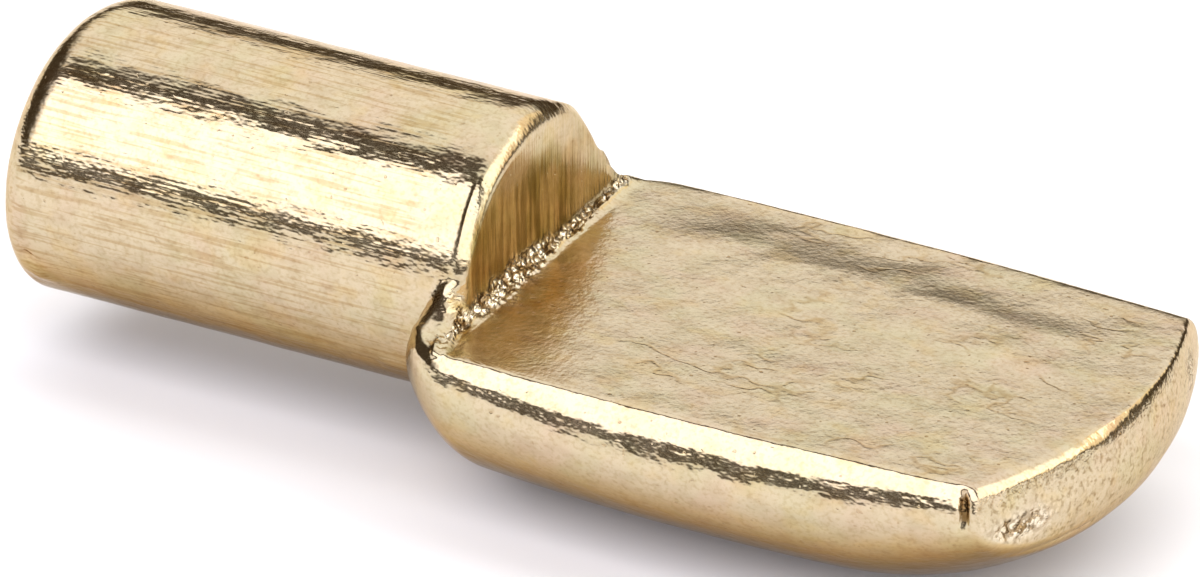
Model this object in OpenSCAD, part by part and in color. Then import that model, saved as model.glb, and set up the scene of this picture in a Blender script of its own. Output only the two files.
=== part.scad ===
// Shelf support pin, spoon pattern. One length of round steel wire: the shank stays round and
// plugs into a bored hole in a cabinet side, the other end is cold-headed into a flat paddle
// that carries the shelf.
// Millimetres. +X runs along the pin from shank to paddle, +Z up out of the shelf seat.
// The origin is on the shank's axis, in the plane where the shoulders stop against the cabinet.

/* [Shank] */
// Diameter of the shank, a sliding fit in a 1/4 inch hole
pin_d = 6.35; // [4:0.05:7.5]
// Length of the shank from the stop plane to its free end
shank_l = 10.2; // [6:0.1:20]
// Radius rolled on the free end, so that it finds the hole
tip_round = 0.75; // [0.2:0.05:1.2]

/* [Step] */
// Distance from the stop plane to the upright step face
step_x = 1.15; // [0.5:0.05:1.5]
// Radius round the top edge of the step face
step_round = 0.3; // [0.1:0.05:0.45]
// Draft of the round edge between the stop plane and that radius
step_draft = 0.02; // [0.01:0.01:0.1]
// Radius of the fillet where the step face meets the shelf seat
foot_fillet = 0.4; // [0.15:0.05:0.6]

/* [Shoulders] */
// Width across the shoulders, where the paddle leaves the shank
root_w = 9.5; // [8:0.1:11]
// Length in which the shoulders swell out to that width
shoulder_run = 1.9; // [0.6:0.1:2.5]
// Length in which the underside swells down to the belly
throat_run = 2; // [1:0.1:3.5]
// Height of the ridge that each shoulder raises beside the step
ledge_rise = 0.9; // [0:0.05:1.2]
// How far that ridge reaches out from the side of the shank
ledge_reach = 1.4; // [0.5:0.1:2]

/* [Paddle] */
// Length of the paddle from the stop plane to the crown of its tip
paddle_l = 15.2; // [12:0.1:24]
// Width at the middle, the widest place
paddle_w = 10.5; // [7.5:0.1:14]
// Width across the tip
tip_w = 9; // [7:0.1:13]
// How far the shelf seat lies under the shank's axis
seat_drop = 0.12; // [0:0.02:0.8]
// Thickness at the middle, from the seat to the bottom of the belly
paddle_h = 4; // [2.8:0.1:5]
// Squareness of the belly's section, 2 is an ellipse
belly_square = 2; // [1.8:0.1:4]
// How much the flat along the bottom takes off the round belly
belly_flat = 0.02; // [0:0.005:0.06]
// Radius rolled along the rim of the shelf seat, at the middle
rim_round = 0.9; // [0.3:0.05:1.3]
// The same radius at both ends of the paddle
rim_end = 0.35; // [0.2:0.05:0.8]

/* [Tip] */
// Radius of the tip's upper edge
tip_rim = 0.35; // [0.15:0.05:0.5]
// How far the middle of the tip stands out past its corners
tip_crown = 1; // [0:0.05:2]
// Radius of the tip's upright corners
corner_round = 0.35; // [0.2:0.05:1]
// Thickness at the tip, where the belly has curved up
tip_h = 1.9; // [1.6:0.1:4]
// Length in which the belly curves up to the tip
bow_run = 5; // [2:0.1:7]
// Radius of the tip's lower edge, between the end face and the belly
toe_round = 0.3; // [0.2:0.1:1]
// How far the end face swells out at half its height
tip_swell = 0.2; // [0:0.05:0.5]

/* [Hidden] */
pin_r = pin_d / 2;
seat_z = -seat_drop;
// Depth of the belly under the shank's axis
belly_drop = seat_drop + paddle_h;
// Where the paddle starts, inside the shank: its reach down and to the sides, and how far its top
// lies under the axis, as shares of the shank's radius
buried = 0.84;
buried_top = 0.4;
// Squareness of the section where it leaves the round shank
root_square = 1.75;
// The shoulders have risen to the seat at the first, where the ridges beside the step are highest.
// The ridges have run down to the seat at the second.
ledge_peak = 0.85 * step_x;
ledge_end = step_x + foot_fillet / 2;
// The belly starts to curve up here
bow_start = paddle_l - bow_run;
// The lower edge of the tip takes up at most this share of its thickness
toe_share = 0.25;
toe_r = min(toe_round, toe_share * tip_h);
// The round along the rim takes up at most this share of the paddle's thickness
rim_share = 0.55;
// Facets: round the belly, round each rim, across the seat, and along the paddle
belly_steps = 36;
rim_steps = 6;
seat_steps = 14;
throat_steps = 16;
middle_steps = 10;
bow_steps = 14;
cap_steps = 3;
ring_n = belly_steps + 2 * rim_steps + seat_steps;
shank_fn = 96;

// ---- curves ----

function clamp01(t) = max(0, min(1, t));
function mix(a, b, t) = a + (b - a) * t;
// Rises smoothly from 0 at a to 1 at b, level at both ends
function ease(a, b, x) = let (t = clamp01((x - a) / (b - a))) t * t * (3 - 2 * t);
// A quarter of an ellipse: leaves 0 upright and arrives at 1 level
function swell(t) = sqrt(1 - pow(1 - clamp01(t), 2));
// What is left of a corner of radius r at distance x, when the corner ends at stop
function corner_cut(r, stop, x) = r * (1 - sqrt(1 - pow(clamp01((x - stop + r) / r), 2)));

// Half width of the paddle at x: the shoulders swell out of the shank, the sides bow out to the
// middle, and the upright corners of the tip close them
function bowed(x) =
    let (t = x / paddle_l, bow = paddle_w - (root_w + tip_w) / 2)
    (mix(root_w, tip_w, t) + bow * 4 * t * (1 - t)) / 2;
function half_width(x) =
    mix(buried * pin_r, bowed(x), swell(x / shoulder_run)) - corner_cut(corner_round, paddle_l, x);

// Height of the shelf seat at x: up out of the shank, level, then the round at the tip
function top_z(x) =
    mix(-buried_top * pin_r, seat_z, swell(x / ledge_peak)) - corner_cut(tip_rim, paddle_l, x);

// How far a shoulder stands over the seat: a ridge behind the plane of the step, which climbs in
// a hollow curve to the side of the shank
function ledge(x, y) =
    ledge_rise * pow(clamp01((pin_r + ledge_reach - abs(y)) / ledge_reach), 2)
        * ease(0, ledge_peak, x) * (1 - ease(ledge_peak, ledge_end, x));

// Depth of the round belly under the axis at x: down from the shank, then up in the bow to the
// tip. In between it dips under the flat, which cuts it off.
function depth(x) =
    mix(buried * pin_r, belly_drop + belly_flat, swell(x / throat_run))
        - (paddle_h - tip_h) * pow(clamp01((x - bow_start) / bow_run), 2)
        - corner_cut(toe_r, paddle_l, x);

// Radius of the rim at x
function rim_r(x) =
    let (t = x / paddle_l)
    min(mix(rim_end, rim_round, 4 * t * (1 - t)), rim_share * (depth(x) + top_z(x)));

// Radius of the belly's section in direction a, for half axes w and d
function superellipse(w, d, n, a) =
    pow(pow(abs(cos(a)) / w, n) + pow(abs(sin(a)) / d, n), -1 / n);

// ---- one ring of the paddle ----

// The section at x as points [y, z]: belly from the near side, far rim, seat, near rim. The rims
// are quarter rounds, stretched up where a shoulder stands over the seat.
function section(x) =
    let (
        w = half_width(x),
        r = rim_r(x),
        waist = top_z(x) - r,
        d = depth(x) + waist,
        n = mix(root_square, belly_square, ease(0, throat_run, x)),
        in_w = w - r
    )
    concat(
        [for (k = [0:belly_steps - 1])
            let (a = 180 * k / belly_steps, out = superellipse(w, d, n, a))
            [-out * cos(a), max(waist - out * sin(a), -belly_drop)]],
        [for (k = [0:rim_steps - 1])
            let (a = 90 * k / rim_steps, y = in_w + r * cos(a))
            [y, waist + (r + ledge(x, y)) * sin(a)]],
        [for (k = [0:seat_steps - 1])
            let (y = in_w * cos(180 * k / seat_steps))
            [y, waist + r + ledge(x, y)]],
        [for (k = [0:rim_steps - 1])
            let (a = 90 - 90 * k / rim_steps, y = in_w + r * cos(a))
            [-y, waist + (r + ledge(x, y)) * sin(a)]]
    );

// The tip is crowned in plan, the further from the centre line the further back, and its end
// face swells out at half its height
function crowned(x, y, z) =
    let (
        back = pow(y / (tip_w / 2), 2),
        level = (seat_z - z) / tip_h,
        out = max(0, 4 * level * (1 - level))
    )
    x - tip_crown * back * ease(bow_start - bow_run / 2, paddle_l, x)
        + tip_swell * (out - 1) * ease(paddle_l - tip_h, paddle_l, x);

function ring(x, shrink = 1) =
    let (mid_z = (top_z(x) - depth(x)) / 2)
    [for (p = section(x))
        let (y = p[0] * shrink, z = mix(mid_z, p[1], shrink))
        [crowned(x, y, z), y, z]];

// Places of the rings: close together where the paddle leaves the shank and where it ends
stations = concat(
    [for (k = [0:throat_steps - 1]) throat_run * (1 - cos(90 * k / throat_steps))],
    [for (k = [0:middle_steps - 1]) mix(throat_run, bow_start, k / middle_steps)],
    [for (k = [0:bow_steps]) bow_start + bow_run * sin(90 * k / bow_steps)]
);

// ---- solids ----

// Two triangles between ring i and ring i + 1, for each side of the ring
function skin(rings) =
    [for (i = [0:rings - 2], k = [0:ring_n - 1])
        let (a = i * ring_n + k, b = i * ring_n + (k + 1) % ring_n)
        each [[a, a + ring_n, b + ring_n], [a, b + ring_n, b]]];

// A fan that closes ring i on point c
function fan(i, c, flip) =
    [for (k = [0:ring_n - 1])
        let (a = i * ring_n + k, b = i * ring_n + (k + 1) % ring_n)
        flip ? [a, b, c] : [b, a, c]];

module paddle() {
    cap = [for (k = [cap_steps - 1:-1:1]) ring(paddle_l, k / cap_steps)];
    rings = concat([for (x = stations) ring(x)], cap);
    count = len(rings);
    stern = [0, 0, (top_z(0) - depth(0)) / 2];
    nose_z = (top_z(paddle_l) - depth(paddle_l)) / 2;
    nose = [crowned(paddle_l, 0, nose_z), 0, nose_z];
    points = concat([for (r = rings) each r], [stern, nose]);
    faces = concat(
        skin(count),
        fan(0, count * ring_n, true),
        fan(count - 1, count * ring_n + 1, false)
    );
    polyhedron(points = points, faces = faces, convexity = 4);
}

// The round shank as a turned outline: rolled free end, straight barrel, rolled step edge
module shank() {
    edge_r = pin_r - step_draft;
    rotate([0, 90, 0])
    rotate_extrude($fn = shank_fn)
    difference() {
        union() {
            translate([0, -shank_l]) square([pin_r - tip_round, shank_l]);
            translate([0, tip_round - shank_l]) square([pin_r, shank_l - tip_round]);
            polygon([[0, 0], [pin_r, 0], [edge_r, step_x - step_round], [0, step_x - step_round]]);
            translate([pin_r - tip_round, tip_round - shank_l]) circle(r = tip_round);
            translate([edge_r - step_round, step_x - step_round]) circle(r = step_round);
            translate([0, step_x - step_round]) square([edge_r - step_round, step_round]);
        }
        translate([-pin_d, -2 * shank_l]) square([pin_d, 4 * shank_l]);
    }
}

// The fillet along the foot of the step face, let a little into the face and into the seat. It
// ends just inside the round outline of the face.
module foot() {
    inset = 0.05;
    reach = sqrt(pow(pin_r - step_draft, 2) - pow(foot_fillet - seat_drop, 2)) - inset / 2;
    translate([0, reach, 0])
    rotate([90, 0, 0])
    linear_extrude(2 * reach)
    difference() {
        translate([step_x - inset, seat_z - inset]) square(foot_fillet + inset);
        translate([step_x + foot_fillet, seat_z + foot_fillet]) circle(r = foot_fillet, $fn = 48);
    }
}

module shelf_pin() {
    color([0.85, 0.76, 0.58])
    union() {
        shank();
        paddle();
        foot();
    }
}

shelf_pin();
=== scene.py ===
# %% [markdown]
# # A shelf support pin
# A length of round steel wire, cold-headed at one end into a flat paddle and then plated a pale
# brass colour. The CAD model gives the sizes. This lesson gives the same pin the skin of the
# real one: draw lines, ripples, folds, crumbs and a torn end.
# The first cell loads the CAD frame.

# %% Frame
import math

import bpy
import numpy as np
from mathutils import Matrix, Vector


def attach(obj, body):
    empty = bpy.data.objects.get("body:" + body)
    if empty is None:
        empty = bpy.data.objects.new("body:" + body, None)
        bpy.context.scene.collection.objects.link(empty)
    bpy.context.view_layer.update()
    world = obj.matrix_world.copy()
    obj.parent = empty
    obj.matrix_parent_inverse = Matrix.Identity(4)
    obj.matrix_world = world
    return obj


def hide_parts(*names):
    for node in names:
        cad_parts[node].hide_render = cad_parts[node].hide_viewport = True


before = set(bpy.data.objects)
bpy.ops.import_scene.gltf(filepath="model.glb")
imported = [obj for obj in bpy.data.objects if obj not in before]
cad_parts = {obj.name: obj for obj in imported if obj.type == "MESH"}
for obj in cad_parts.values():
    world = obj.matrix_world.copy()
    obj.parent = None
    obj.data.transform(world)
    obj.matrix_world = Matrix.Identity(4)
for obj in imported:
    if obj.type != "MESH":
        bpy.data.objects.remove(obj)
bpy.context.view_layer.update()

# %% [markdown]
# ## Sizes
# Every size is in millimetres, as on a drawing, and becomes metres only when the mesh is made.
# Most repeat the CAD model's values, or lie 0.02 mm from them. The rest make what the CAD model
# leaves plain: the free end is sheared a little out of square and rolled more on top, the step
# isn't quite square to the shank and is rounder at its very top, the near shoulder leans back,
# the far shoulder's ridge is the higher, the near rim has two flats, and the tip has a narrow
# bevel and sharp edges.

# %% Sizes
MM = 0.001
PIN_R = 3.175  # radius of the shank
END_X = -10.08  # the free end on the axis
END_SHEAR = 0.14  # how far the end leans from the axis to its top
END_ROUND = (0.45, 1.1)  # radius rolled on the end, at the bottom and at the top
STEP_X = 1.15
STEP_SKEW = 0.065  # the step is not quite square to the shank
STEP_ROUND, STEP_CREASE = 0.3, 0.1  # radius of its edge, above and down beside the shoulders
STEP_TOP_ROUND = 0.25  # what that radius gains at the very top
FOOT_FILLET = 0.38
ROOT_W, PADDLE_W, TIP_W = 9.5, 10.5, 9.0
SHOULDER_RUN, THROAT_RUN = 1.9, 2.0
RIDGE_RISE, RIDGE_REACH, RIDGE_RUN = 0.92, 1.4, 0.98
RIDGE_UNEVEN = 0.2  # what the far ridge gains and the near one loses, as a share of the rise
PADDLE_L = 15.2
SEAT_Z = -0.12
PADDLE_H, TIP_H = 4.0, 1.9
BELLY_Z = SEAT_Z - PADDLE_H
BELLY_SQUARE, ROOT_SQUARE = 2.0, 1.75
RIM_ROUND, RIM_END = 0.9, 0.35  # radius along the seat, at the middle and at both ends
FLAT_LEAN = (48, 71)  # the two flats along the near rim, in degrees from level
FLAT_IN, FLAT_DOWN = 0.6, 1.08  # where they meet the seat and the side, as shares of the rim
FLAT_EDGE, UPRIGHT_EDGE, SEAT_EDGE = 0.04, 0.1, 0.04  # how sharp their edges are
TIP_BEVEL = 0.15
BEVEL_LEAN = (45, 64)  # the bevel's near and far half
BEVEL_EDGE = 0.03
TIP_CROWN, TIP_SWELL = 1.0, 0.2
BOW_RUN = 5.0
TOE_ROUND, END_EDGE = 0.3, 0.06  # radius under the tip's end face, and over it
BURIED, BURIED_TOP = 0.84, 0.4  # where the paddle starts inside the wire, as shares of its radius
RAISED_INSET = 0.06  # the shoulders' ridges stand this far in from the paddle's sides
SHOULDER_HOLLOW = 0.32  # how far the front of the near shoulder leans back
BOW_START = PADDLE_L - BOW_RUN
FLOOR_GAP = 0.012  # air between the belly and the paper
print(f"pin {PADDLE_L - END_X:.1f} mm long on its axis, shank {2 * PIN_R:.2f} mm across")

# %% [markdown]
# ## The camera
# It looks down on the pin from the front, turned a little to the paddle's end, from far away
# with a long lens, so that the lines of the shank stay parallel. It is made from three
# directions: towards the camera, right and up in the picture.

# %% Camera
AZIMUTH, ELEVATION, ROLL = (math.radians(a) for a in (30.62, 26.49, -0.35))
LENS, SENSOR = 500.0, 36.0
FIELD = 24.677316  # width of the view at the pin, in mm
AIM_X, AIM_RIGHT, AIM_UP = 0.25, 2.086, -0.887  # a point on the axis, then right and up from it
TOWARDS = Vector((math.sin(AZIMUTH) * math.cos(ELEVATION),
                  -math.cos(AZIMUTH) * math.cos(ELEVATION), math.sin(ELEVATION)))
level = Vector((0, 0, 1)).cross(TOWARDS).normalized()
RIGHT = level * math.cos(ROLL) + TOWARDS.cross(level) * math.sin(ROLL)
UP = TOWARDS.cross(RIGHT)
looked_at = (Vector((AIM_X, 0, 0)) + AIM_RIGHT * RIGHT + AIM_UP * UP) * MM
camera = bpy.data.objects.new("camera", bpy.data.cameras.new("camera"))
camera.data.lens, camera.data.sensor_width = LENS, SENSOR
distance = FIELD * MM * LENS / SENSOR
camera.data.clip_start, camera.data.clip_end = 0.01, 10
turn = Matrix((RIGHT, UP, TOWARDS)).transposed().to_4x4()
camera.matrix_world = Matrix.Translation(looked_at + TOWARDS * distance) @ turn
bpy.context.scene.collection.objects.link(camera)
bpy.context.scene.camera = camera
print(f"camera {distance:.3f} m away, field {FIELD:.1f} mm wide")

# %% [markdown]
# ## Curves and rounded joins
# A shape is described by a number that is negative inside the metal and positive outside, close
# to the distance in millimetres. Two shapes are joined by taking the smaller number, and cut by
# taking the larger. The two functions below do that with a round of radius r in the edge, as a
# die with a radius leaves it.

# %% Curves
def mix(a, b, t):
    """The point a share t of the way from a to b."""
    return a + (b - a) * t


def ease(a, b, x):
    """Rises from 0 at a to 1 at b along 3t^2 - 2t^3, level at both ends."""
    t = np.clip((x - a) / (b - a), 0, 1)
    return t * t * (3 - 2 * t)


def swell(t):
    """A quarter of an ellipse: leaves 0 upright and arrives at 1 level."""
    return np.sqrt(1 - (1 - np.clip(t, 0, 1)) ** 2)


def bump(x, centre, reach):
    """A smooth hill of height 1 at centre, 0 beyond reach: (1 - t^2)^2."""
    return np.clip(1 - ((x - centre) / reach) ** 2, 0, 1) ** 2


def cut_round(a, b, r):
    """Both shapes at once, with their convex edge rounded: length(a + r, b + r) - r there."""
    u, v = np.maximum(a + r, 0), np.maximum(b + r, 0)
    return np.minimum(-r, np.maximum(a, b)) + np.sqrt(u * u + v * v)


def join_round(a, b, r):
    """Either shape, with a fillet in their concave corner: r - length(r - a, r - b) there."""
    u, v = np.maximum(r - a, 0), np.maximum(r - b, 0)
    return np.maximum(r, np.minimum(a, b)) - np.sqrt(u * u + v * v)


print("a join of two faces 0.1 mm away with a 0.3 mm fillet:", join_round(0.1, 0.1, 0.3))

# %% [markdown]
# ## The whole pin as one number
# The real pin is one piece of steel, so its skin is one surface. The shank is a round bar with a
# rolled free end and an upright step face. The paddle has a superellipse for its section, a flat
# top, rolled rims, a crowned tip and a toe that curves up. A die's fillet joins them at the foot
# of the step, and only a tight crease where the shoulders bulge out of the wire.

# %% The shape
def past_step(x, y):
    """How far a point lies in front of the plane of the step."""
    return x - STEP_X + STEP_SKEW * y


def bar(x, y, z):
    """Distance outside a round bar along X, cut off at the sheared end."""
    lean = z / PIN_R
    end = END_X + END_SHEAR * lean - x
    rolled = mix(END_ROUND[0], END_ROUND[1], np.clip((1 + lean) / 2, 0, 1))
    return cut_round(np.hypot(y, z) - PIN_R, end, rolled)


def ridge(x, y):
    """How far a shoulder stands over the seat behind the step. It climbs in a hollow curve to the
    side of the bar, and is the higher on the far side."""
    rise = RIDGE_RISE * (1 + RIDGE_UNEVEN * np.tanh(y))
    hollow = np.clip((PIN_R + RIDGE_REACH - np.abs(y)) / RIDGE_REACH, 0, 1) ** 2
    return rise * hollow * ease(0, RIDGE_RUN, x)


def half_width(x):
    """Half the paddle's width: out of the wire in a quarter of an ellipse, then a slow bow."""
    t = x / PADDLE_L
    bow = PADDLE_W - (ROOT_W + TIP_W) / 2
    bowed = (mix(ROOT_W, TIP_W, t) + bow * 4 * t * (1 - t)) / 2
    return mix(BURIED * PIN_R, bowed, swell(x / SHOULDER_RUN))


def depth(x):
    """How deep the belly lies under the axis: down from the wire, then up again to the tip."""
    rise = (PADDLE_H - TIP_H) * np.clip((x - BOW_START) / BOW_RUN, 0, 1.2) ** 2
    return mix(BURIED * PIN_R, -BELLY_Z, swell(x / THROAT_RUN)) - rise


def facet(out, up, lean):
    """Distance outside a flat through (0, 0) that leans so many degrees from level."""
    return out * np.sin(np.radians(lean)) + up * np.cos(np.radians(lean))


def paddle(x, y, z, rise=0.0, inset=0.0):
    """Distance outside the paddle. Above its waist a round rolls over to the flat seat, and below
    it the section is (y / w)^n + (z / d)^n = 1. The distance is the excess over 1 divided by how
    fast that excess grows. Along the near side the die left two flats, and the lower one is the
    steeper. rise lifts the top, inset draws the sides in."""
    w = half_width(x) - inset
    t = np.clip(x / PADDLE_L, 0, 1)
    r = mix(RIM_END, RIM_ROUND, 4 * t * (1 - t))
    waist = mix(-BURIED_TOP * PIN_R, SEAT_Z, swell(x / RIDGE_RUN)) - r
    d = np.maximum(depth(x) + waist, 0.2)
    n = mix(ROOT_SQUARE, BELLY_SQUARE, ease(0, THROAT_RUN, x))
    side = np.abs(y)
    # above the waist
    high = r + rise
    p = np.maximum(side - (w - r), 0) / r
    q = np.maximum(z - waist, 0) / high
    g = np.hypot(p, q)
    upper = (g - 1) * g / np.maximum(np.hypot(p / r, q / high), 1e-6)
    # below the waist
    under = np.maximum(waist - z, 0)
    e = ((side / w) ** n + (under / d) ** n) ** (1 / n)
    grow = np.hypot(side ** (n - 1) / w ** n, under ** (n - 1) / d ** n)
    grow = grow * np.maximum(e, 1e-3) ** (1 - n)
    lower = (e - 1) / np.maximum(grow, 1e-3)
    body = np.where(z > waist, upper, lower)
    # the two flats of the near side
    top = z - waist - high
    flat_high = facet(side - w + FLAT_IN * r, top, FLAT_LEAN[0])
    flat_low = facet(side - w, top + FLAT_DOWN * r, FLAT_LEAN[1])
    flats = cut_round(flat_high, flat_low, FLAT_EDGE * r)
    upright = cut_round(np.where(z > waist, side - w, lower), flats, UPRIGHT_EDGE * r)
    body = np.where(y < 0, cut_round(upright, top, SEAT_EDGE), body)
    # the crowned end, with a bevel over it that is twice as wide and less steep on the near half
    level = (SEAT_Z - z) / TIP_H
    out = np.maximum(0, 4 * level * (1 - level)) - 1
    tip = PADDLE_L - TIP_CROWN * (y / (TIP_W / 2)) ** 2 + TIP_SWELL * out
    rolled = mix(END_EDGE, TOE_ROUND, ease(-0.8, -2.2, z))
    lean = mix(BEVEL_LEAN[0], BEVEL_LEAN[1], ease(-1.6, -0.4, y))
    bevel = TIP_BEVEL * mix(1, 0.5, ease(-1.4, 0.2, y))
    body = cut_round(body, facet(x - tip + bevel, top, lean), BEVEL_EDGE)
    return np.maximum(cut_round(body, x - tip, rolled), -1 - x)


def pin_shape(p):
    """Distance outside the whole pin, for an array of points."""
    x, y, z = p[..., 0], p[..., 1], p[..., 2]
    front = past_step(x, y)
    raised = np.maximum(paddle(x, y, z, ridge(x, y), RAISED_INSET), SEAT_Z - 0.2 - z)
    edge = mix(STEP_CREASE, STEP_ROUND, ease(0.6, 2.0, z)) + STEP_TOP_ROUND * ease(2.3, 3.1, z)
    # the front of the near shoulder leans back into a hollow
    hollow = SHOULDER_HOLLOW * ease(0.02, 0.55, z) * ease(-2.95, -3.25, y)
    headed = join_round(bar(x, y, z), raised, 0.15 + 0.2 * ease(0, 2, y))
    block = cut_round(headed, front + hollow, edge)
    # a tight crease where the belly leaves the wire, and the die's fillet at the foot of the step
    crease = 0.06
    foot = (FOOT_FILLET - crease) * ease(-0.12, 0, front) * ease(SEAT_Z - 0.25, SEAT_Z, z)
    return join_round(block, paddle(x, y, z), crease + 0.1 * ease(-1, -2.8, z) + foot)


print("distance at the seat's middle", pin_shape(np.array([[7.5, 0, SEAT_Z]])))

# %% [markdown]
# ## A grid of rays
# The skin is a grid. Each line of the grid runs round the pin, and each point on it looks out from
# a core inside the metal towards a target on a simple ring outside it. Where its ray leaves the
# metal, there is the skin. The rings lean forward over the step, so that the upright face and the
# shoulders under it get as many grid lines as the rest, and crowd together where the shape turns
# fastest. Each key ring below says: how many rings lead to it, then where its core lies, where its
# top and its sides aim, how wide and how deep it is, and how far it has changed from the round of
# the shank to the flat top of the paddle.

# %% Rays
ROUND_STEPS = 256
END_RINGS, TIP_RINGS = 58, 54
# rings, core x, core z, top x, top z, side x, half width, bottom z, paddle share
KEYS = np.array([
    (0, -8.6, 0.0, -8.6, 3.3, -8.6, 3.3, -3.3, 0.0),
    (42, -2.5, 0.0, -1.8, 3.3, -2.5, 3.3, -3.3, 0.0),
    (19, -1.0, -0.3, 0.8, 3.3, -0.7, 3.3, -3.3, 0.0),
    (10, -0.5, -0.4, 1.2, 2.9, -0.35, 3.3, -3.3, 0.0),
    (30, 0.3, -0.7, 1.2, 1.0, 0.0, 3.3, -3.3, 0.15),
    (20, 0.6, -0.9, 1.2, 0.3, 0.05, 3.8, -3.5, 0.35),
    (18, 0.95, -1.0, 1.4, 0.0, 0.25, 4.5, -3.75, 0.6),
    (16, 1.5, -1.1, 1.8, -0.08, 0.9, 4.9, -3.95, 0.8),
    (21, 3.2, -1.2, 3.4, -0.1, 3.0, 5.2, -4.1, 1.0),
    (64, 12.8, -1.2, 12.8, -0.1, 12.8, 5.2, -3.4, 1.0),
    (24, 13.6, -1.1, 13.9, -0.1, 13.9, 5.2, -3.2, 1.0),
])


def key_rings():
    """Every ring's values: straight between two key rings, with the counts in the first column."""
    rows = [KEYS[:1, 1:]]
    for a, b in zip(KEYS[:-1], KEYS[1:]):
        share = np.arange(1, int(b[0]) + 1)[:, None] / b[0]
        rows.append(mix(a[1:], b[1:], share))
    return np.concatenate(rows)


def d_outline(n):
    """n points round a D on its back, as shares of its size: flat top, superellipse below."""
    half, deep = 4.9, 3.5  # about the size of the paddle's section
    a = np.linspace(-np.pi / 2, 0, 2001)
    r = (np.abs(np.cos(a)) ** 3 + np.abs(np.sin(a)) ** 3) ** (-1 / 3)
    y = np.concatenate([r * np.cos(a) * half, np.linspace(half, 0, 1001)[1:]])
    z = np.concatenate([r * np.sin(a) * deep, np.zeros(1000)])
    # evenly along its length, but the rim, at the end of the arc, counts for more
    step = np.hypot(np.diff(y), np.diff(z))
    corner = np.hypot(y[1:] - half, z[1:] + 0.1)
    length = np.concatenate([[0], np.cumsum(step * (1 + 1.6 * np.exp(-(corner / 0.35) ** 2)))])
    u = np.abs(2 * np.arange(n) / n - 1)  # 1 at the bottom, 0 at the top
    at = length[-1] * (1 - u)
    side = np.where(2 * np.arange(n) / n < 1, 1.0, -1.0)
    return side * np.interp(at, length, y) / half, np.interp(at, length, z) / deep


flat_y, flat_z = d_outline(ROUND_STEPS)
turns = 2 * np.pi * np.arange(ROUND_STEPS) / ROUND_STEPS
round_y, round_z = np.sin(turns), -np.cos(turns)
print("rings", len(key_rings()) + END_RINGS + TIP_RINGS, "x", ROUND_STEPS)


def aims():
    """Start and target of each ray, as two arrays of rings x points x 3."""
    k = key_rings()
    core_x, core_z, top_x, top_z, side_x, wide, bottom, share = (c[:, None] for c in k.T)
    up = round_z
    y = wide * mix(round_y, flat_y, share)
    z_round = np.where(up > 0, up * top_z, -up * bottom)
    z_flat = mix(top_z, bottom, -flat_z)
    z = mix(z_round, z_flat, share)
    # how far over the top a point is: 5 degrees above level to 35 degrees
    over = ease(np.sin(np.radians(5)), np.sin(np.radians(35)), up)
    skew = -STEP_SKEW * y * over * bump(top_x, STEP_X, 1.5)
    target = np.stack([mix(side_x, top_x, over) + skew, y, z], -1)
    # inside the wire the rays start on its core, inside the flat paddle from a wide low ring
    spread_y, spread_z = 0.75 * share, 0.25 * share
    start = np.stack([core_x + 0 * y, spread_y * y, mix(core_z, z, spread_z)], -1)
    return start, target


def cap(start, target, rings, reach):
    """Rings that close an end: the targets swing round the core from level to straight ahead.
    The last one is the pole itself, a ring of one point."""
    # the rings crowd where they cross the edge, about 68 degrees from straight ahead
    fine = np.linspace(90, 0, 901)
    count = np.cumsum(1 + 4 * np.exp(-((fine - 68) / 4) ** 2))
    tau = np.interp(np.linspace(count[0], count[-1], rings + 1), count, np.radians(fine))
    tau = tau[1:, None, None]
    middle = np.array([start[0, 0], 0, start[:, 2].mean()])
    fore = np.array([reach, 0, 0])
    s = middle + (start - middle) * np.sin(tau)
    t = middle + (target - middle) * np.sin(tau) + fore * np.cos(tau)
    return s, t


def leave(start, target):
    """Where each ray first leaves the metal: coarse steps outward, then halving."""
    steps, reach = 48, 1.5
    last = np.zeros(start.shape[:-1])
    found = np.zeros(start.shape[:-1], bool)
    for k in range(1, steps + 1):
        t = reach * k / steps
        outside = pin_shape(mix(start, target, t)) > 0
        found |= outside
        last = np.where(found, last, t)
    low, high = last, last + reach / steps
    for _ in range(14):
        half = (low + high) / 2
        inside = pin_shape(mix(start, target, half[..., None])) < 0
        low, high = np.where(inside, half, low), np.where(inside, high, half)
    print("rays that never leave:", int((~found).sum()))
    return mix(start, target, low[..., None])


start, target = aims()
end_s, end_t = cap(start[0], target[0], END_RINGS, -3.0)
tip_s, tip_t = cap(start[-1], target[-1], TIP_RINGS, 3.2)
start = np.concatenate([end_s[::-1], start, tip_s])
target = np.concatenate([end_t[::-1], target, tip_t])
skin = leave(start, target)
print("skin", skin.shape, "box", skin.min((0, 1)).round(3), skin.max((0, 1)).round(3))

# %% [markdown]
# ## Ripples, crumbs and folds
# Drawn wire and cold-forged steel are never quite true: the surface waves by a few microns, and
# on bright metal that bends every reflection. Where the punch sheared the step, the steel tore
# into crumbs. These are made with lattice noise, whose slopes are known, and pushed along the
# outward direction of the skin.

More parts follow.
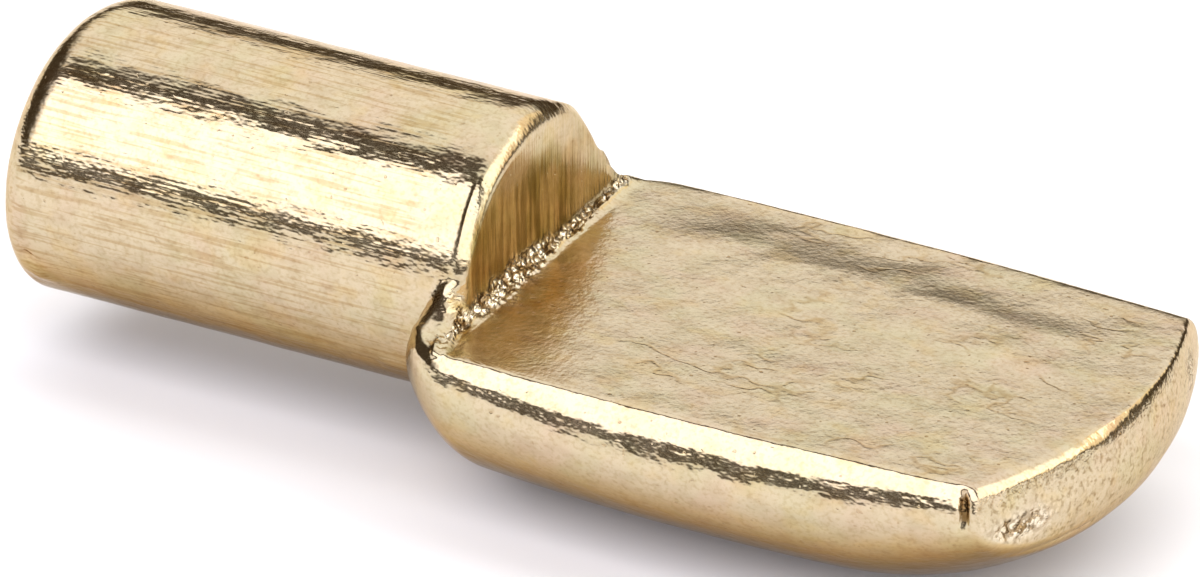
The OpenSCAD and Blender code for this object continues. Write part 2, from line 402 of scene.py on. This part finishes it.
# %% Noise
def noise(p, size, seed):
    """Gradient noise: a random slope at each corner of a cubic lattice of that size, and a
    smooth blend between the eight corners round each point. Runs from about -0.8 to 0.8."""
    random = np.random.default_rng(seed)
    table = random.permutation(256)
    slopes = random.normal(size=(256, 3))
    slopes /= np.linalg.norm(slopes, axis=1, keepdims=True)
    q = p / size
    low = np.floor(q).astype(int)
    f = q - low
    fade = f ** 3 * (f * (6 * f - 15) + 10)
    total = np.zeros(p.shape[:-1])
    for corner in np.ndindex(2, 2, 2):
        c = (low + corner) & 255
        h = table[(table[(table[c[..., 0]] + c[..., 1]) & 255] + c[..., 2]) & 255]
        near = np.where(np.array(corner) == 1, fade, 1 - fade).prod(-1)
        total += near * (slopes[h] * (f - corner)).sum(-1)
    return total * 1.4


def outward(p):
    """Unit direction in which the shape's number grows fastest, from differences over 0.01 mm."""
    h = 0.01
    steps = np.eye(3) * h
    g = np.stack([pin_shape(p + s) - pin_shape(p - s) for s in steps], -1)
    return g / np.linalg.norm(g, axis=-1, keepdims=True)


normal = outward(skin)
x, y, z = skin[..., 0], skin[..., 1], skin[..., 2]
print("noise runs", noise(skin, 1.0, 1).min().round(2), noise(skin, 1.0, 1).max().round(2))

# %% [markdown]
# ## Zones
# Each part of the skin has its own history: the shank was drawn through a die, the seat was
# pressed by a punch, the step was sheared and rubbed, and the tip's end was cut. A number from 0
# to 1 says how much each point belongs to each. It comes from the point's place and from which
# way it faces, so it follows the shape, and it is kept for the material too.

# %% Zones
on_shank = ease(0.2, -0.3, x)
on_seat = ease(0.95, 0.995, normal[..., 2]) * ease(0.9, 1.2, x) * ease(0.2, 0, z)
on_step = ease(0.6, 0.8, normal[..., 0]) * ease(0.3, 0.6, x) * ease(2, 1, x) * ease(-0.4, -0.1, z)
on_tip = ease(0.78, 0.92, normal[..., 0]) * ease(12, 13, x)
# the crumbs lie along the foot of the step, in a band that is widest on the near half
foot_line = np.hypot(past_step(x, y) - 0.1, z - SEAT_Z - 0.16)
reach = 0.07 + 0.19 * ease(1.6, -1.2, y) - 0.15 * ease(-2.4, -3.1, y) + 0.2 * noise(skin, 0.45, 11)
crumbs = np.exp(-(foot_line / np.maximum(reach, 0.06)) ** 3) * ease(4.4, 3.9, np.abs(y))
# the brown film covers the lower part of the step, less towards the far side
film = on_step * ease(2.3, 1.7, z + 0.3 * noise(skin, 0.8, 12)) * (1 - 0.7 * ease(0.9, 2.4, y))
# the fold in the near shoulder: how far a point lies in front of it, and what belongs to the
# shoulder's front
fold = 0.937 * (x - 1.14 + 0.373 * (y + 3.35))
near = ease(-3.05, -3.3, y) * ease(-4.75, -4.4, y) * ease(-0.5, -0.2, z)
film = np.maximum(film, 0.7 * near * ease(0.08, 0.16, fold) * ease(0.6, 0.35, fold) * (1 - crumbs))
# the stain that the punch left on the seat, near the step
smear = on_seat * np.exp(-((x - 2.3 - 0.25 * y) / 0.75) ** 2 - ((y + 1.5) / 1.7) ** 2)
zones = dict(shank=on_shank, seat=on_seat, step=on_step, tip=on_tip, crumbs=crumbs, film=film,
             smear=smear)
print("points in each zone", {name: int((v > 0.5).sum()) for name, v in zones.items()})

# %% [markdown]
# ## What was pushed in and what was torn out
# All of it is one number per point, in millimetres along the outward direction: the long waves of
# the drawn wire, the lip that the shear raised, the folds of lapped steel, a burr, the crumbs and
# a notch. Adding them before the mesh is made keeps the skin one closed surface, and real height
# gives true outlines, which bump in a material can't.

# %% Displacement
def line(d, width):
    """A rounded ridge along the line where d is 0: exp(-(d / width)^2)."""
    return np.exp(-(d / width) ** 2)


def away(centre):
    """How far each point of the skin lies from a place."""
    return np.linalg.norm(skin - centre, axis=-1)


BURR, NICK = (-9.3, -2.55, -1.85), (-9.47, -2.85, -1.4)  # places on the skin
TORN = [(-3.55, -1.22, 0.75, 0.28, 1.0), (3.5, -0.85, 0.3, 0.4, 0.7)]  # y, z, size, strength
NOTCH = (13.81, -4.66)

# long waves everywhere, and a long dip and swell along the far edge of the seat
push = 0.007 * noise(skin, 1.9, 21) + 0.006 * noise(skin, 0.7, 22) + 0.002 * noise(skin, 0.3, 23)
off_edge = y + 0.08 * (x - 3)
wave = 0.045 * bump(off_edge, 2.4, 2.2) - 0.05 * bump(off_edge, 4.2, 1.4)
push += on_seat * ease(1.8, 4.0, x) * ease(14, 11.5, x) * wave * (1 + 0.9 * noise(skin, 1.5, 24))
# the lip that the shear raised round the edge of the step
lip = line(past_step(x, y) + 0.27, 0.09) * ease(0.2, 1.0, z) * ease(-0.1, 0.3, 1 - normal[..., 0])
push += 0.05 * lip * ease(3.0, 2.3, z)
# folds in the near shoulder, where the flowing steel lapped over itself
push += near * (0.035 * line(fold + 0.13, 0.06) + 0.03 * line(fold - 0.1, 0.05)
                - 0.06 * line(fold, 0.04) - 0.04 * line(fold - 0.27, 0.1))
# a small burr and a nick under the free end
push += 0.1 * line(away(BURR), 0.28) - 0.09 * line(away(NICK), 0.15)
# the crumbs along the foot, and the two torn spots on the end
push += crumbs * (0.1 * noise(skin, 0.17, 31) + 0.06 * noise(skin, 0.1, 32) + 0.02)
torn = sum(strength * np.exp(-((y - at_y) / wide) ** 2 - ((z - at_z) / tall) ** 2) * on_tip
           for at_y, at_z, wide, tall, strength in TORN)
push += torn * (0.11 * noise(skin, 0.24, 41) + 0.07 * noise(skin, 0.13, 42))
# the notch at the near corner of the end, measured across it, 30.5 degrees from X
across = 0.862 * (x - NOTCH[0]) + 0.507 * (y - NOTCH[1])
notch = line(across, 0.1) * ease(-0.1, -0.4, z) * ease(-1.15, -0.8, z)
notch *= ease(-4.0, -4.3, y) * ease(12.8, 13.2, x)
push -= 0.2 * notch
worn = skin + normal * push[..., None]
print("pushed", push.min().round(3), "to", push.max().round(3), "mm")

# %% [markdown]
# ## The mesh
# The rings become bands of four-sided faces, and a fan of triangles closes each end on its pole.
# All faces wind the same way, outward. The zones go along as one number per point, because a
# material can't work out by itself which punch or die touched it. So do two masks for painted
# shade: how far a face looks down, and the notch.

# %% Mesh
def make_skin(name, points):
    """A mesh from a grid of rings whose first and last are poles, in metres."""
    rings, n = points.shape[:2]
    body = points[1:-1].reshape(-1, 3)
    verts = np.concatenate([body, points[:1, 0], points[-1:, 0]]) * MM
    j = np.arange(n)
    ahead = (j + 1) % n
    i = np.arange(rings - 3)[:, None] * n
    quads = np.stack([i + j, i + ahead, i + n + ahead, i + n + j], -1).reshape(-1, 4)
    first, last = len(body), len(body) + 1
    base = (rings - 3) * n
    end_fan = np.stack([np.full(n, first), ahead, j], -1)
    tip_fan = np.stack([np.full(n, last), base + j, base + ahead], -1)
    mesh = bpy.data.meshes.new(name)
    mesh.from_pydata(verts.tolist(), [], quads.tolist() + end_fan.tolist() + tip_fan.tolist())
    mesh.shade_smooth()
    mesh.update()
    return mesh


pin_mesh = make_skin("pin_skin", worn)
pin = bpy.data.objects.new("pin_skin", pin_mesh)
bpy.context.scene.collection.objects.link(pin)
print("pin", len(pin_mesh.vertices), "points,", len(pin_mesh.polygons), "faces")


def keep_zone(mesh, name, values):
    """Stores one number per point for the material, in the mesh's order of points."""
    flat = np.concatenate([values[1:-1].ravel(), values[:1, 0], values[-1:, 0]])
    mesh.attributes.new(name, "FLOAT", "POINT").data.foreach_set("value", flat.astype(np.float32))


# under is how far a face looks down, and the material paints shade with it; notch also carries the
# painted shade inside the notch
zones.update(torn=torn, notch=notch, under=np.clip(-normal[..., 2], 0, 1))
for name, values in zones.items():
    keep_zone(pin_mesh, name, values)
print("zones kept:", ", ".join(zones))

# %% [markdown]
# ## The finish
# Brass plating on cold-drawn steel: a metal, so its colour is the colour of its reflections.
# The plating follows every mark of the steel under it and is only fairly smooth itself, so
# reflections are clear but ragged at their edges. Such pins are plated tumbling in a barrel, so
# the colour drifts. The underside is painted browner and darker the more it looks down, as painted
# shade.
# A material can be painted on a flattened skin, or worked out from the place of each point. The
# second way needs no seams, and its patterns have true sizes in millimetres.

# %% Material helpers
def linear(code):
    """sRGB hex to linear red, green, blue and alpha."""
    c = np.array([int(code[k:k + 2], 16) for k in (1, 3, 5)]) / 255
    c = np.where(c <= 0.04045, c / 12.92, ((c + 0.055) / 1.055) ** 2.4)
    return (*c.tolist(), 1.0)


def add(tree, kind, inputs=(), **settings):
    """Adds a node. inputs go to its sockets, in order or by name or number: a value, an output,
    or a node, which stands for its first output. settings are its properties."""
    node = tree.nodes.new("ShaderNode" + kind)
    for key, value in settings.items():
        setattr(node, key, value)
    for key, value in inputs.items() if isinstance(inputs, dict) else enumerate(inputs):
        if isinstance(value, bpy.types.Node):
            value = value.outputs[0]
        if isinstance(value, bpy.types.NodeSocket):
            tree.links.new(value, node.inputs[key])
        else:
            node.inputs[key].default_value = value
    return node


PLUS, TIMES = {"operation": "ADD"}, {"operation": "MULTIPLY"}
SMOOTH = {"interpolation_type": "SMOOTHSTEP"}  # 0 below a value, 1 above another, eased between
FILM = {"data_type": "RGBA", "blend_type": "MULTIPLY"}  # one colour laid thinly over another
PLATING = "#CDBD9F"  # pale brass, which gives the eye a warm cream under white light
brass = bpy.data.materials.new("brass_plating_on_drawn_steel")
brass.use_nodes = True
tree = brass.node_tree
tree.nodes.clear()
shader = add(tree, "BsdfPrincipled", {"Metallic": 1.0})
add(tree, "OutputMaterial", {"Surface": shader})
here = add(tree, "TexCoord").outputs["Object"]
in_mm = add(tree, "VectorMath", {0: here, "Scale": 1 / MM}, operation="SCALE")


def cloud(size, stretch=(1, 1, 1), detail=0.0, shift=0.0, soft=None):
    """Noise of a size in mm, drawn out along the axes, from 0 to 1. With soft it is 0 below the
    first of two values, 1 above the second, and smooth between."""
    scale = tuple(1 / (size * k) for k in stretch)
    at = add(tree, "Mapping", {"Vector": in_mm, "Location": (shift,) * 3, "Scale": scale})
    noisy = add(tree, "TexNoise", {"Vector": at, "Scale": 1.0, "Detail": detail,
                                   "Roughness": 0.55})
    return add(tree, "MapRange", (noisy, *soft), **SMOOTH) if soft else noisy


def wash(colour, rows):
    """Lays thin films over a colour, one after the other: colour * (1 - s + s * film), where s
    is the share times the pattern. A row holds the film in linear light, share and pattern."""
    for film_colour, share, pattern in rows:
        laid = add(tree, "Math", (share, pattern), **TIMES)
        colour = add(tree, "Mix", {0: laid, 6: colour, 7: (*film_colour, 1)}, **FILM).outputs[2]
    return colour


kept = {name: add(tree, "Attribute", attribute_name=name).outputs["Fac"] for name in zones}
shank, seat, step, tip = (kept[name] for name in ("shank", "seat", "step", "tip"))
pressed = add(tree, "Math", (add(tree, "Math", (seat, step), **PLUS), tip), **PLUS)
torn_all = add(tree, "Math", (kept["crumbs"], kept["torn"]), **PLUS)
broken = add(tree, "Math", (torn_all, 1.0), operation="MINIMUM")
print("plating in linear light", [round(v, 3) for v in linear(PLATING)[:3]])

# %% [markdown]
# ## Relief
# What is too fine for the mesh is drawn as height in the material, in millimetres: the ripple of
# drawn wire, the draw lines of the die, the punch's grain, scratches where the step was sheared,
# and pits. Each pattern is kept to the zone where its tool was at work. Real draw lines,
# scratches and grains are a few hundredths of a millimetre wide. Here they are drawn about twice
# as coarse, so that they show at all.

# %% Relief
GRAIN = 0.16
at = add(tree, "Mapping", {"Vector": in_mm, "Location": (11.0,) * 3, "Scale": (1 / GRAIN,) * 3})
# round grains for the crumbs and the torn spots: 0 in the middle of each, about 0.6 in the gaps
grain = add(tree, "TexVoronoi", {"Vector": at, "Scale": 1.0})
unpressed = add(tree, "Math", (1.0, pressed), operation="SUBTRACT")
plain = add(tree, "Math", (unpressed, 0.0), operation="MAXIMUM")
patches = cloud(1.4, (1.5, 1, 1), 1.0, 4.0, (0.4, 0.62))
rough_seat = add(tree, "Math", (seat, patches), **TIMES)
# thin wrinkles where a cloud crosses its middle value, in patches, on the outer part of the seat
above = add(tree, "Math", (cloud(0.8, (1.7, 1, 1), 2.0, 6.0), 0.5), operation="SUBTRACT")
apart = add(tree, "Math", (above,), operation="ABSOLUTE")
thin = add(tree, "MapRange", (apart, 0.045, 0.0), **SMOOTH)
wrinkle = add(tree, "Math", (thin, cloud(1.7, (1, 1, 1), 0.0, 8.0, (0.53, 0.65))), **TIMES)
outer = add(tree, "MapRange", (add(tree, "SeparateXYZ", (in_mm,)), 3.4, 5.0), **SMOOTH)
outer_seat = add(tree, "Math", (seat, outer), **TIMES)
wrinkle = add(tree, "Math", (wrinkle, outer_seat), **TIMES)
# pits, a few more of them in the stain
more = add(tree, "Math", (kept["smear"], 0.1), **TIMES)
spots = add(tree, "Math", (cloud(0.12, (1.2, 1, 1), 0.0, 13.0), more), **PLUS)
pit = add(tree, "MapRange", (spots, 0.79, 0.85), **SMOOTH)
marks = [
    (-0.004, wrinkle, 1.0),
    (0.009, cloud(0.12, (1.7, 1, 1), 1.0), plain),  # ripple of the drawn skin, fine
    (0.017, cloud(0.3, (2.0, 1, 1), 0.0, 1.5), plain),  # and longer
    (0.004, cloud(0.06, (24, 1, 1), 0.0, 3.0), shank),  # draw lines from the die
    (0.009, cloud(0.13, (0.9, 1, 1), 2.0, 5.0), seat),  # the punch's own grain
    (0.013, cloud(0.3, (1.1, 1, 1), 1.0, 5.5), rough_seat),  # rougher in patches
    (0.010, cloud(0.08, (1, 1, 16), 0.0, 7.0), step),  # scratches down the step
    (0.014, cloud(0.09, (1, 1, 1), 1.0, 9.0), tip),  # the grain of the sheared end
    (-0.11, grain, broken),  # crumbs of torn steel
    (-0.004, pit, 1.0),
]
relief = 0.0
for tall, pattern, share in marks:
    raised = add(tree, "Math", (add(tree, "Math", (pattern, tall), **TIMES), share), **TIMES)
    relief = add(tree, "Math", (relief, raised), **PLUS)
bumps = add(tree, "Bump", {"Height": relief, "Distance": MM, "Strength": 1.0})
tree.links.new(bumps.outputs[0], shader.inputs["Normal"])
print("patterns in the relief", len(marks))

# %% [markdown]
# ## Colour
# The base colour of a metal tints what it reflects, so a small change of it shows over the whole
# surface. It starts as the pale yellow of the plating and drifts a little, as barrel plating
# does. Then come the films: brown where the punch rubbed and in the draw lines, wrinkles and pits.
# Painted light comes last: painted shade in the notch and in the gaps between the broken grains, a
# painted highlight that makes the grains pale, and painted shade that browns and darkens a face
# the more it looks down. The eye reads the drifts as age, and the films and painted shade as
# depth.

# %% Colour
colour = wash(linear(PLATING), [
    ((0.96, 1.0, 0.95), cloud(1.3, (1.2, 1, 1), 2.0, 21.0, (0.45, 0.65)), 1.0),  # greenish
    ((1.0, 0.95, 0.97), cloud(1.1, (1.2, 1, 1), 2.0, 23.0, (0.50, 0.70)), 1.0),  # pinkish
    ((1.0, 0.96, 0.86), cloud(0.7, (1.2, 1, 1), 3.0, 25.0, (0.50, 0.68)), 1.0),  # yellow
    ((0.90, 0.88, 0.85), cloud(0.35, (1.2, 1, 1), 3.0, 27.0, (0.40, 0.70)), 1.0),  # dull
    ((0.88, 0.84, 0.78), cloud(0.09, (1.2, 1, 1), 1.0, 28.0, (0.45, 0.72)), 1.0),  # in grains
    ((0.97, 0.99, 1.03), seat, 1.0),  # a little paler and cooler than the rest
    ((0.9, 0.74, 0.5), kept["smear"], cloud(0.4, (1.5, 1, 1), 3.0, 29.0, (0.3, 0.6))),  # stain
    ((0.95, 0.95, 0.94), step, 1.0),
    ((0.82, 0.74, 0.54), kept["film"], 1.0),  # brown film on the lower part of the step
    # drawn out in streaks, and greener in blots
    ((0.45, 0.4, 0.27), kept["film"], cloud(0.2, (1, 1, 12), 2.0, 33.0, (0.4, 0.62))),
    ((0.7, 0.72, 0.55), kept["film"], cloud(0.8, (1, 1, 1.5), 1.0, 34.0, (0.48, 0.62))),
    # the sheared end is grainy
    ((0.62, 0.56, 0.46), tip, cloud(0.13, (1, 1, 1), 2.0, 35.0, (0.5, 0.7))),
])
# broken grains are painted pale as a painted highlight, and their brown gaps as painted shade
pale_grain_highlight = {0: add(tree, "Math", (broken, 0.85), **TIMES), 6: colour, 7: linear("#F8EFD8")}
colour = add(tree, "Mix", pale_grain_highlight, data_type="RGBA", blend_type="MIX").outputs[2]
grain_gap_shade = add(tree, "MapRange", (grain, 0.4, 0.6), **SMOOTH)
# painted shade: the inside of the notch is painted dark brown
notch_shade = add(tree, "MapRange", (kept["notch"], 0.35, 0.8), **SMOOTH)
brown_pits = add(tree, "Math", (add(tree, "Math", (seat, 0.4), **TIMES), 0.4), **PLUS)
colour = wash(colour, [
    # painted shade in the gaps between the broken grains
    ((0.32, 0.23, 0.13), broken, grain_gap_shade),
    # painted shade inside the notch
    ((0.3, 0.22, 0.13), notch_shade, 1.0),
    ((0.7, 0.58, 0.4), wrinkle, 0.6),
    # the draw lines keep a brown film
    ((0.84, 0.77, 0.66), shank, cloud(0.08, (22, 1, 1), 1.0, 39.0, (0.5, 0.66))),
    ((0.62, 0.48, 0.32), pit, brown_pits),
])
# painted shade: from level to straight down, the plating is painted browner and darker
DOWNWARD_PAINTED_SHADE = [(0.25, (1, 1, 1, 1)), (0.36, (1, 0.97, 0.91, 1)), (0.49, (0.95, 0.86, 0.68, 1)),
             (0.64, (0.62, 0.47, 0.28, 1)), (0.8, (0.28, 0.19, 0.1, 1))]
belly = add(tree, "ValToRGB", {"Fac": kept["under"]})
stops = belly.color_ramp.elements
for stop, (at, shade) in zip(stops, (DOWNWARD_PAINTED_SHADE[0], DOWNWARD_PAINTED_SHADE[-1])):
    stop.position, stop.color = at, shade
for at, shade in DOWNWARD_PAINTED_SHADE[1:-1]:
    stops.new(at).color = shade
colour = add(tree, "Mix", {0: 1.0, 6: colour, 7: belly}, **FILM).outputs[2]
tree.links.new(colour, shader.inputs["Base Color"])
# fairly smooth, so that reflections are clear, and a little duller where a tool pressed or cut
uneven = add(tree, "Math", (cloud(0.5, (2, 1, 1), 1.0, 31.0), 0.06), **TIMES)
duller = add(tree, "Math", (pressed, 0.09), **TIMES)
rough = add(tree, "Math", (add(tree, "Math", (uneven, 0.12), **PLUS), duller), **PLUS).outputs[0]
tree.links.new(rough, shader.inputs["Roughness"])
# a glancing ray crosses more of the brown film, so edges seen from the side turn brown
shader.inputs["Specular Tint"].default_value = (0.88, 0.78, 0.64, 1)
pin_mesh.materials.append(brass)
print("brass", len(tree.nodes), "nodes")

# %% [markdown]
# ## The studio
# A small bright metal part shows its surroundings more than itself, so the studio is painted on
# the sky around it: a broad strip of light at the front, a dark gap, and wide panels over the top
# and back. They end on the left, so the rolled free end shows the dark room. Area lamps could do
# this too. A painted sky lies endlessly far away, so every part of the pin sees each panel in
# the same direction, and a highlight stays straight along the shank.

# %% Studio
world = bpy.data.worlds.new("studio")
bpy.context.scene.world = world
world.use_nodes = True
sky = world.node_tree
sky.nodes.clear()
looking = add(sky, "TexCoord").outputs["Generated"]
along, back, up = add(sky, "SeparateXYZ", (looking,)).outputs
front = add(sky, "Math", (back, -1.0), **TIMES)
height = add(sky, "Math", (up, front), operation="ARCTAN2")


def between(value, low, high, soft):
    """1 between low and high, 0 outside, with soft edges."""
    rise = add(sky, "MapRange", (value, low - soft, low + soft), **SMOOTH)
    fall = add(sky, "MapRange", (value, high + soft, high - soft), **SMOOTH)
    return add(sky, "Math", (rise, fall), **TIMES)


def panel(power, low, high, left=-2.0, right=2.0, soft=2.0, side_soft=0.08):
    """A panel of light: turned low to high degrees up from the front, left to right along X.
    power is its red, green and blue."""
    a = between(height, math.radians(low), math.radians(high), math.radians(soft))
    b = between(along, left, right, side_soft)
    both = add(sky, "Math", (a, b), **TIMES)
    return add(sky, "VectorMath", {0: power, "Scale": both}, operation="SCALE")


LEFT_END = -0.76
ROOM = (0.08, 0.06, 0.04)  # the room itself, dark and warm
panels = [
    # the broad strip at the front, a little cool, makes the highlight along the shank
    panel((2.38, 2.36, 2.55), 13, 72, left=LEFT_END, side_soft=0.12),
    # the broad one over the top and back lights the shank's upper side and the seat
    panel((1.32, 1.32, 1.36), 90, 157, left=LEFT_END, right=0.15, soft=5),
    # these lie to the right of it, and light what faces the tip: the step, the bevel, the end
    panel((1.3, 1.3, 1.3), 90, 138, left=0.15, right=0.4),
    panel((1.45, 1.25, 0.95), 138, 160, left=0.15),
    panel((2.3, 2.3, 2.3), 88, 142, left=0.4),
    # below the horizon, white paper all round
    panel((1.43, 1.43, 1.43), -181, 0.5, soft=0.8),
]
light = ROOM
for p in panels:
    light = add(sky, "VectorMath", (p, light), **PLUS)
background = add(sky, "Background", {"Color": light, "Strength": 1.0})
add(sky, "OutputWorld", {"Surface": background})
bpy.context.scene.view_settings.view_transform = "Standard"
print("panels", len(panels))

# %% [markdown]
# ## The floor
# A plain sheet of matt white paper. It gives the belly its light from below, and under such broad
# panels the pin throws only a soft shadow on it. It lies a hair under the pin, so that nothing
# cuts into it.

# %% Floor
FLOOR_HALF = 0.6  # metres from the middle to each side, so that the edge lies out of sight
PAPER = "#FAFAFA"
paper = bpy.data.materials.new("white_paper")
paper.use_nodes = True
paper_shader = paper.node_tree.nodes["Principled BSDF"]
paper_shader.inputs["Base Color"].default_value = linear(PAPER)
paper_shader.inputs["Roughness"].default_value = 0.9
paper_shader.inputs["Specular IOR Level"].default_value = 0.1
floor_z = (BELLY_Z - FLOOR_GAP) * MM
corners = [(i * FLOOR_HALF, j * FLOOR_HALF, floor_z)
           for i, j in ((-1, -1), (1, -1), (1, 1), (-1, 1))]
floor_mesh = bpy.data.meshes.new("floor")
floor_mesh.from_pydata(corners, [], [(0, 1, 2, 3)])
floor_mesh.materials.append(paper)
floor = bpy.data.objects.new("floor", floor_mesh)
bpy.context.scene.collection.objects.link(floor)
print(f"floor {floor_z * 1000:.3f} mm from the shank's axis")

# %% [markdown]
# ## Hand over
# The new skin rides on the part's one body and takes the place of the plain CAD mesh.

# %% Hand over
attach(pin, "root")
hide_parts("shelf_pin")
